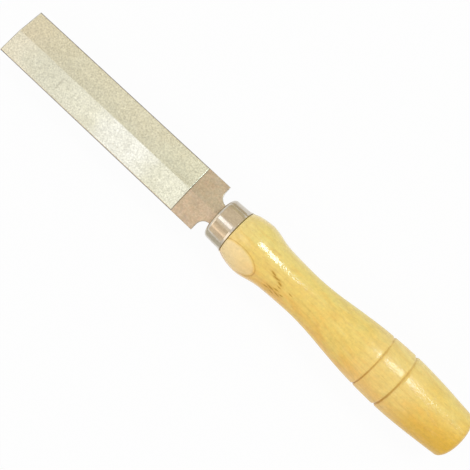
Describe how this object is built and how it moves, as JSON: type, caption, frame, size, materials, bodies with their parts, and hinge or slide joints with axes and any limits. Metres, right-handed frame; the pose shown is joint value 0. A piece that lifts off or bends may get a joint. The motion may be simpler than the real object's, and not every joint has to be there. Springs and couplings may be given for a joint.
{
  "type": "diamond file",
  "caption": "Flat hand file: ridged steel blade faced with diamond grit above and below, plated ferrule, turned and grooved wooden handle.",
  "frame": {"origin": "on the file's axis, half way between the foremost tip corner and the butt of the handle", "axes": "+X along the file from the tip to the butt, +Y across the blade's width, +Z square to the blade's wide faces"},
  "size_m": [0.2164, 0.0224, 0.0224],
  "materials": {
    "blade_steel": "bare, fine matt, slightly warm",
    "diamond_grit": "fine diamond grit in a nickel bond, matt, cream",
    "plated_steel": "bright plating",
    "lacquered_wood": "pale wood under clear gloss lacquer"
  },
  "bodies": {
    "root": {"file_blade": "blade_steel", "diamond_coat_upper": "diamond_grit", "diamond_coat_lower": "diamond_grit", "ferrule": "plated_steel", "handle": "lacquered_wood"}
  },
  "joints": []
}
